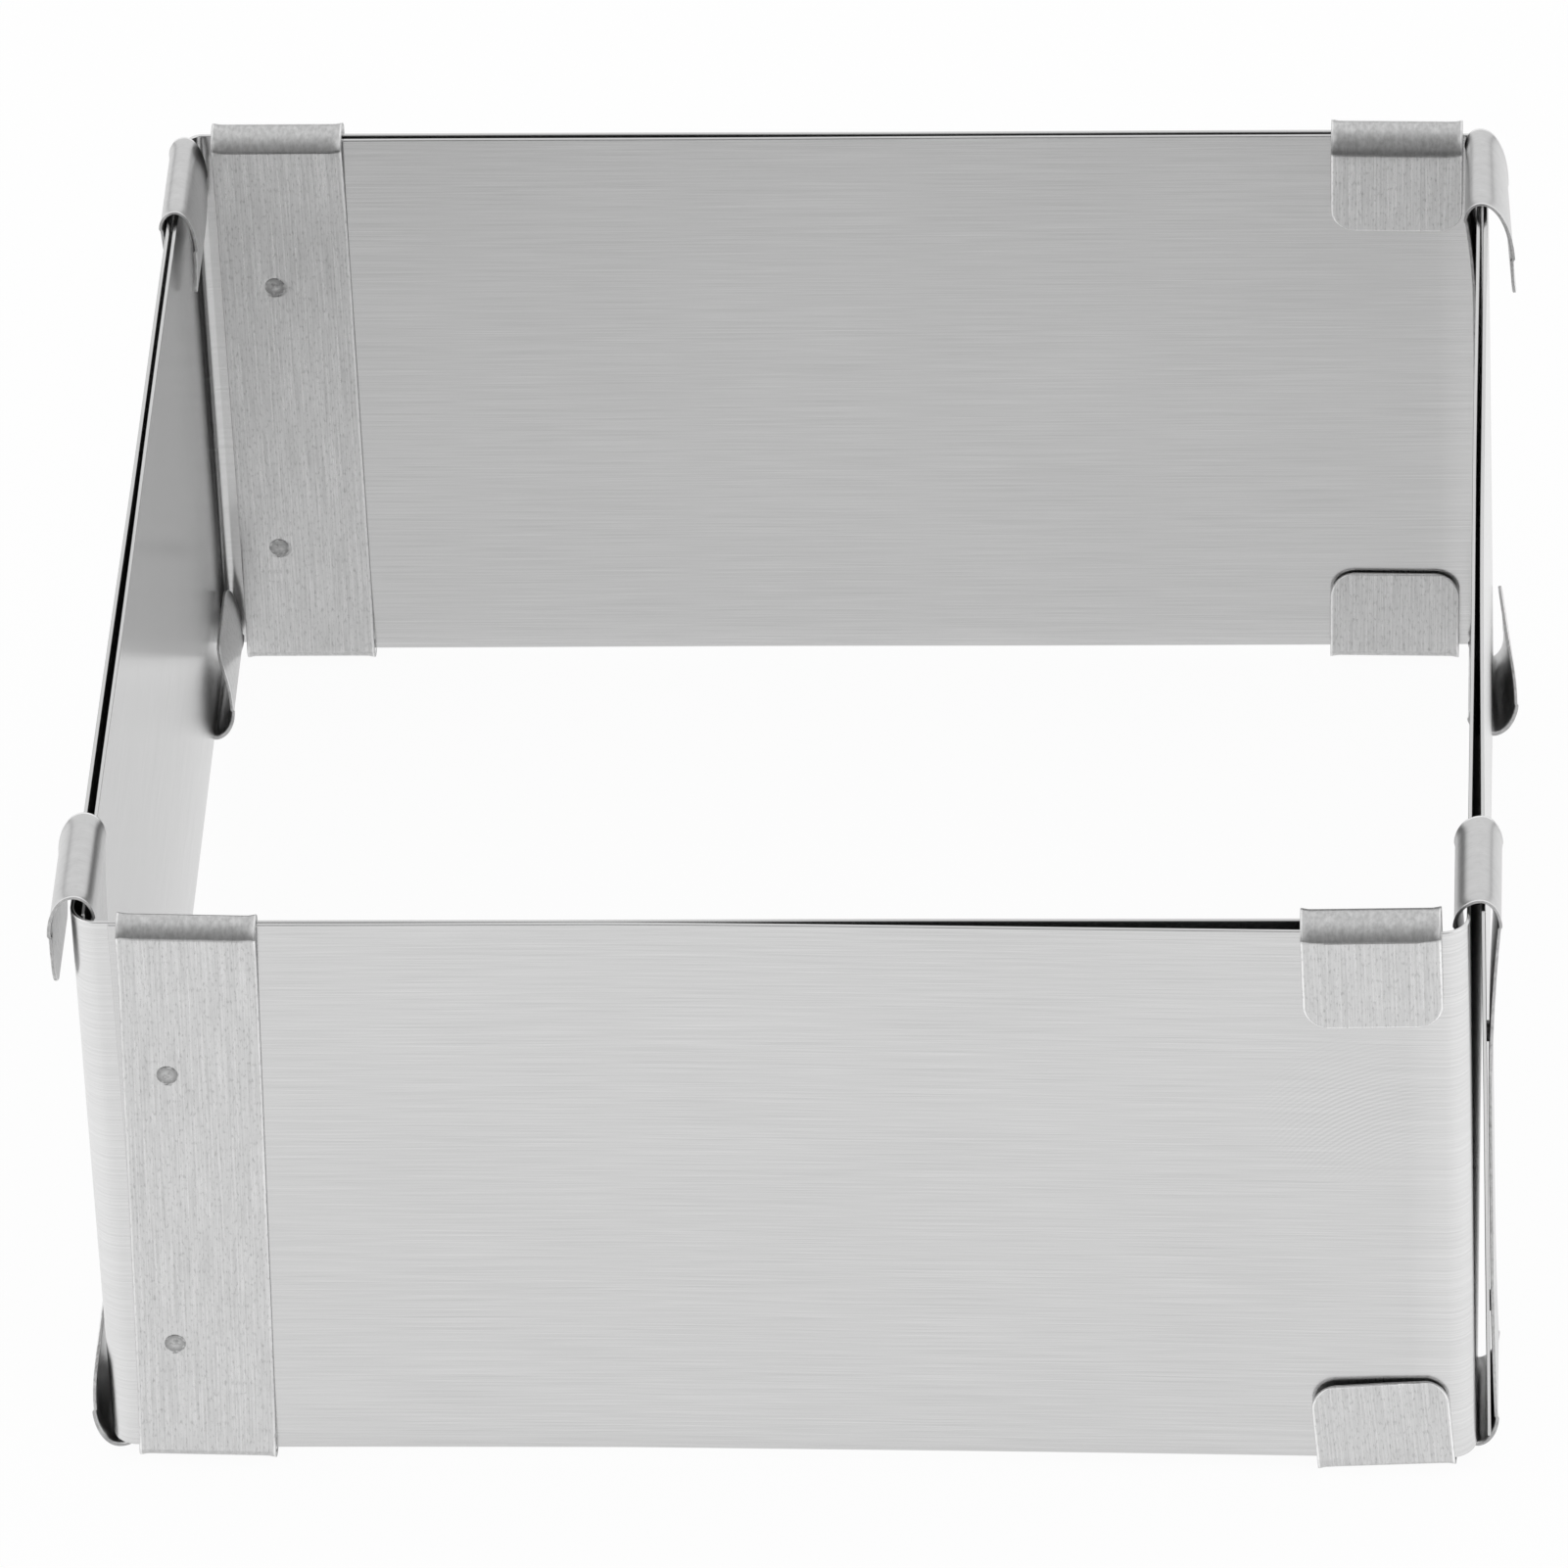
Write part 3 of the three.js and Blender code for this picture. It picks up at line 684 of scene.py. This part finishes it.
def strap_steel():
    """Strip steel: straight fine grain down the strap with short dark flecks, quieter on the folds.
    Creased folds are speckled, rounded rims carry a painted highlight, and the sheared edges are rough
    and blotched."""
    material, tree, place, shader = steel_material("scratched_strap_steel", STRAP_ANISOTROPY)
    streaks = stretched_noise(tree, place, *STRAP_STREAKS)
    flecks = stretched_noise(tree, place, *STRAP_FLECKS)
    mottle = stretched_noise(tree, place, *STRAP_MOTTLE)
    speckle = stretched_noise(tree, place, *STRAP_SPECKLE)
    rolled, fold, rim, cut = (
        add_node(tree, "ShaderNodeAttribute", attribute_name=mark).outputs["Fac"]
        for mark in ("rolled", "fold", "rim", "cut")
    )
    scratch = remap(tree, flecks, *FLECK_RANGE, 0.0, 1.0)
    grain = combine(tree, "SUBTRACT", streaks, combine(tree, "MULTIPLY", scratch, FLECK_DEPTH))
    grain = add_node(tree, "ShaderNodeMix", {
        "Factor": combine(tree, "MULTIPLY", rolled, ROLLED_QUIET), "A": grain, "B": ROLLED_GRAIN,
    }).outputs["Result"]
    tone = combine(
        tree, "MULTIPLY",
        remap(tree, grain, *STRAP_GRAIN, *STRAP_TONES), remap(tree, mottle, *MOTTLE_RANGE, *MOTTLE_TONES),
    )
    dull = combine(tree, "MULTIPLY", fold, remap(tree, speckle, *SPECKLE_RANGE, *FOLD_DULLING))
    torn = combine(tree, "MULTIPLY", cut, remap(tree, speckle, *SPECKLE_RANGE, *CUT_DULLING))
    kept = combine(tree, "SUBTRACT", 1.0, combine(tree, "MAXIMUM", dull, torn))
    tone = combine(tree, "MULTIPLY", tone, kept)
    # Painted highlight: the rounded rims are made paler, standing in for the light they catch.
    tone = combine(tree, "MULTIPLY", tone, remap(tree, rim, 0.0, 1.0, 1.0, RIM_HIGHLIGHT_TONE))
    tone = combine(tree, "MINIMUM", tone, BRIGHTEST)
    roughness = combine(
        tree, "ADD",
        remap(tree, grain, *STRAP_GRAIN, *STRAP_ROUGHNESS), combine(tree, "MULTIPLY", cut, CUT_ROUGHNESS),
    )
    pitted = combine(tree, "MULTIPLY", speckle, combine(tree, "MULTIPLY", fold, FOLD_RELIEF))
    relief = combine(tree, "ADD", grain, pitted)
    finish_steel(tree, shader, tone, relief, roughness, STRAP_GRAIN_DEPTH)
    return material


strap_metal = strap_steel()
for corner in CORNERS:
    for kind in ("outer", "inner"):
        name = f"{corner}_{kind}"
        strap = guide_strap(corner, kind)
        seat_piece(f"{name}_guide", strap, strap_metal, corner, "strap_steel", f"{name}_strap")

# Spot welds
# Two round nuggets hold each strap to its sheet. The electrode left a shallow dish with a raised rim on
# the strap and a flat spot just short of flush on the back of the sheet, darkened by the heat.
WELD_RADIUS = 1.35 * MM
WELD_SWELL = 0.025 * MM
WELD_WAVES = 1.9
WELD_RING_START = 0.06
WELD_SUNK = 0.04 * MM
WELD_BACK_SUNK = 0.01 * MM
WELD_SPOKES = 32
WELD_RINGS = 10
WELD_UV_LENGTH = 4 * WELD_RADIUS


def weld_nugget(corner, kind, height):
    """A turned plug: a front face just below the strap's, which swells in the middle and has a raised
    rim by a cosine of the radius, a straight side and a flat back face."""
    end, right, inwards = leg_axes(corner, kind)
    outwards = -inwards if kind == "outer" else inwards
    x, z = strap_welds(corner, kind)[("upper", "lower").index(height)]
    line = strap_line(corner, kind)
    strap_off = line[1]
    reach = on_leg(line, strap_off, z) + STRAP_THICKNESS / 2 - WELD_SUNK
    face = 0.0 if kind == "outer" else SHEET_THICKNESS
    ring = np.linspace(WELD_RING_START, 1.0, WELD_RINGS)
    swell = WELD_SWELL * np.cos(ring * WELD_WAVES * math.pi)
    front = np.stack((ring, reach - WELD_SWELL + swell), axis=-1)
    back = np.stack((ring[::-1], np.full(WELD_RINGS, WELD_BACK_SUNK - SHEET_THICKNESS)), axis=-1)
    profile = np.concatenate((front, back))
    turn = np.linspace(0, 2 * math.pi, WELD_SPOKES, endpoint=False)
    radius = WELD_RADIUS * profile[:, 0, None]
    x, z = leaned(corner, kind, x + radius * np.cos(turn), z + radius * np.sin(turn))
    off = np.broadcast_to(profile[:, 1, None], x.shape)
    plan = end + x[..., None] * right + face * inwards + off[..., None] * outwards
    grid = np.concatenate((plan, z[..., None]), axis=-1)
    around = np.linspace(0, 2 * math.pi * WELD_RADIUS, WELD_SPOKES + 1)
    along = np.linspace(0, WELD_UV_LENGTH, len(profile))
    mesh = strip_mesh(f"{corner}_{kind}_nugget_{height}", grid, around, along)
    rim = np.repeat(profile[:, 0], WELD_SPOKES)
    mesh.attributes.new("rim", "FLOAT", "POINT").data.foreach_set("value", rim)
    return mesh


BLOTCHES = 2100.0  # per metre
BLOTCH_LAYERS = 4.0
BLOTCH_RANGE = (0.3, 0.7)
RAGGED = (-0.35, 0.35)  # how far the blotches shift the heat ring, in shares of the nugget's radius
RING_INSIDE = (0.55, 0.75)
RING_OUTSIDE = (0.92, 1.15)
RING_FADE = (1.0, 0.3)
RING_TONE = 0.75  # times the plain tone
WELD_TONES = (0.32, 0.62)
WELD_ROUGHNESS = (0.5, 0.38)
BLOTCH_DEPTH = 0.03 * MM


def weld_steel():
    """Heat-marked steel: dull and blotched, with a dark ragged ring round a paler middle."""
    material, tree, _, shader = steel_material("heat_marked_weld_steel", 0.0)
    spot = add_node(tree, "ShaderNodeTexCoord").outputs["Object"]
    blotch = add_node(tree, "ShaderNodeTexNoise", {
        "Vector": spot, "Scale": BLOTCHES, "Detail": BLOTCH_LAYERS,
    }).outputs["Fac"]
    rim = add_node(tree, "ShaderNodeAttribute", attribute_name="rim").outputs["Fac"]
    ragged = combine(tree, "ADD", rim, remap(tree, blotch, *BLOTCH_RANGE, *RAGGED))
    ring = combine(
        tree, "MULTIPLY",
        remap(tree, ragged, *RING_INSIDE, 0.0, 1.0), remap(tree, ragged, *RING_OUTSIDE, *RING_FADE),
    )
    tone = combine(
        tree, "MULTIPLY",
        remap(tree, blotch, *BLOTCH_RANGE, *WELD_TONES), remap(tree, ring, 0.0, 1.0, 1.0, RING_TONE),
    )
    roughness = remap(tree, blotch, *BLOTCH_RANGE, *WELD_ROUGHNESS)
    finish_steel(tree, shader, tone, blotch, roughness, BLOTCH_DEPTH)
    return material


weld_metal = weld_steel()
for corner in CORNERS:
    for kind in ("outer", "inner"):
        for height in ("upper", "lower"):
            name = f"{corner}_{kind}_nugget_{height}"
            node = f"{corner}_{kind}_weld_{height}"
            seat_piece(name, weld_nugget(corner, kind, height), weld_metal, corner, "weld_steel", node)

# Floor
# A wide white table that the frame stands on, plain matt board.
FLOOR_HALF = 4.0
FLOOR_DROP = 0.05 * MM
FLOOR_STEPS = 9


def floor_mesh():
    """Flat square grid just under the folds that the frame stands on."""
    span = np.linspace(-FLOOR_HALF, FLOOR_HALF, FLOOR_STEPS)
    x, y = np.meshgrid(span, span, indexing="ij")
    points = np.stack((x, y, np.full_like(x, cad_low.z - FLOOR_DROP)), axis=-1)
    vertex = np.arange(FLOOR_STEPS**2).reshape(FLOOR_STEPS, FLOOR_STEPS)
    quads = np.stack((vertex[:-1, :-1], vertex[1:, :-1], vertex[1:, 1:], vertex[:-1, 1:]), axis=-1)
    mesh = bpy.data.meshes.new("floor")
    mesh.from_pydata(points.reshape(-1, 3).tolist(), [], quads.reshape(-1, 4).tolist())
    return mesh


BOARD_WHITE = (0.93, 0.93, 0.93, 1.0)
PLAIN_WHITE = (1.0, 1.0, 1.0, 1.0)
SEEN_WHITE = 0.95  # share of plain white in the board as the camera sees it
INSIDE_FRONT_WHITE = 0.36  # the same in reflections, within the frame: painted shade standing for the front side's shade
INSIDE_BACK_WHITE = 0.60  # and near the back side, where that painted shade is lighter
OUTSIDE_WHITE = 0.88  # in front of it and behind it
SIDE_WHITE = 1.0  # and at its sides: painted light, as if the lamps stood nearer
FRAME_LOW = 78 * MM  # from the middle, where the frame's painted shade starts to fade
FRAME_HIGH = 92 * MM  # and where it ends
SHADED_TO = -30 * MM  # how far back the front side's painted shade reaches
SIDE_START = 92 * MM  # from the middle, where the board's sides start
SIDE_FULL = 130 * MM


def white_board():
    """Matt white board. A share of what the camera, the steel and glass see of it is plain white, and the
    rest keeps the frame's shadow. In reflections that share is lower within the frame, a painted shade,
    and full at its sides, a painted light."""
    material = bpy.data.materials.new("white_board")
    material.use_nodes = True
    tree = material.node_tree
    tree.nodes.clear()
    matt = add_node(tree, "ShaderNodeBsdfDiffuse", {"Color": BOARD_WHITE}).outputs["BSDF"]
    white = add_node(tree, "ShaderNodeEmission", {"Color": PLAIN_WHITE, "Strength": 1.0}).outputs["Emission"]
    ray = add_node(tree, "ShaderNodeLightPath").outputs
    seen = combine(tree, "MULTIPLY", ray["Is Camera Ray"], SEEN_WHITE)
    through = combine(tree, "MULTIPLY", ray["Is Transmission Ray"], SEEN_WHITE)
    place = add_node(tree, "ShaderNodeTexCoord").outputs["Object"]
    depth = add_node(tree, "ShaderNodeSeparateXYZ", {"Vector": place}).outputs["Y"]
    # Painted shade within the frame and painted light at its sides, seen only in reflections.
    inside = remap(tree, depth, SHADED_TO, FRAME_LOW, INSIDE_FRONT_WHITE, INSIDE_BACK_WHITE)
    size = add_node(tree, "ShaderNodeVectorMath", {0: place}, operation="ABSOLUTE").outputs["Vector"]
    from_middle = add_node(tree, "ShaderNodeSeparateXYZ", {"Vector": size}).outputs
    beyond = combine(tree, "MAXIMUM", from_middle["X"], from_middle["Y"])
    lit = remap(tree, beyond, FRAME_LOW, FRAME_HIGH, inside, OUTSIDE_WHITE)
    at_sides = remap(tree, from_middle["X"], SIDE_START, SIDE_FULL, 0.0, SIDE_WHITE)
    mirrored = combine(tree, "MULTIPLY", ray["Is Glossy Ray"], combine(tree, "MAXIMUM", lit, at_sides))
    share = combine(tree, "MAXIMUM", combine(tree, "MAXIMUM", seen, through), mirrored)
    both = add_node(tree, "ShaderNodeMixShader", {0: share, 1: matt, 2: white})
    add_node(tree, "ShaderNodeOutputMaterial", {"Surface": both.outputs["Shader"]})
    return material


floor = bpy.data.objects.new("floor", floor_mesh())
floor.data.materials.append(white_board())
bpy.context.scene.collection.objects.link(floor)

# Light
# A white tent: even light from above and behind, falling off towards the camera's side, with a dark line
# where the tent meets the table, and a soft box on each side of the camera.
TENT_BACK = 0.95
TENT_FRONT = 0.33
FALL_START = 0.25
HORIZON_LEVEL = 0.3
HORIZON_HIGH = 0.17
SIDE_BOXES = ((-0.74, -0.45, 0.5), (0.74, -0.45, 0.5))
BOX_EDGE = 0.86  # cosine of the angle from its middle at which a box starts
BOX_FULL = 0.95  # and at which it is at its full level
BOX_LEVEL = 0.75

world = bpy.data.worlds.new("tent")
world.use_nodes = True
tent = world.node_tree
tent.nodes.clear()
way = add_node(tent, "ShaderNodeTexCoord").outputs["Generated"]
parts = add_node(tent, "ShaderNodeSeparateXYZ", {"Vector": way}).outputs
eased = {"interpolation_type": "SMOOTHSTEP"}
level = remap(tent, parts["Y"], -1.0, FALL_START, TENT_FRONT, TENT_BACK, **eased)
horizon = remap(tent, parts["Z"], 0.0, HORIZON_HIGH, HORIZON_LEVEL, 1.0, **eased)
strength = combine(tent, "MULTIPLY", level, horizon)
for box_way in SIDE_BOXES:
    towards = add_node(tent, "ShaderNodeVectorMath", {0: way, 1: box_way}, operation="DOT_PRODUCT")
    box_light = remap(tent, towards.outputs["Value"], BOX_EDGE, BOX_FULL, 0.0, BOX_LEVEL)
    strength = combine(tent, "ADD", strength, box_light)
glow = add_node(tent, "ShaderNodeBackground", {"Color": PLAIN_WHITE, "Strength": strength})
add_node(tent, "ShaderNodeOutputWorld", {"Surface": glow.outputs["Background"]})
bpy.context.scene.world = world

# Camera
# A long lens from the front, a little to the right and well above, rolled slightly as in the photograph.
AIM = Vector((-4.39, -0.35, 42.9)) * MM
CAMERA_DISTANCE = 1.95
CAMERA_AZIMUTH = math.radians(4.159)
CAMERA_ELEVATION = math.radians(37.115)
CAMERA_ROLL = math.radians(-2.653)
CAMERA_LENS = 342.79
SENSOR_WIDTH = 36.0

camera_data = bpy.data.cameras.new("camera")
camera_data.lens = CAMERA_LENS
camera_data.sensor_width = SENSOR_WIDTH
camera = bpy.data.objects.new("camera", camera_data)
bpy.context.scene.collection.objects.link(camera)
back = Vector((
    math.sin(CAMERA_AZIMUTH) * math.cos(CAMERA_ELEVATION),
    -math.cos(CAMERA_AZIMUTH) * math.cos(CAMERA_ELEVATION),
    math.sin(CAMERA_ELEVATION),
))
level_right = Vector((math.cos(CAMERA_AZIMUTH), math.sin(CAMERA_AZIMUTH), 0.0))
level_up = back.cross(level_right)
right = math.cos(CAMERA_ROLL) * level_right + math.sin(CAMERA_ROLL) * level_up
up = math.cos(CAMERA_ROLL) * level_up - math.sin(CAMERA_ROLL) * level_right
turned = Matrix((right, up, back)).transposed().to_4x4()
camera.matrix_world = Matrix.Translation(AIM + back * CAMERA_DISTANCE) @ turned
bpy.context.scene.camera = camera
bpy.context.scene.view_settings.view_transform = "Standard"
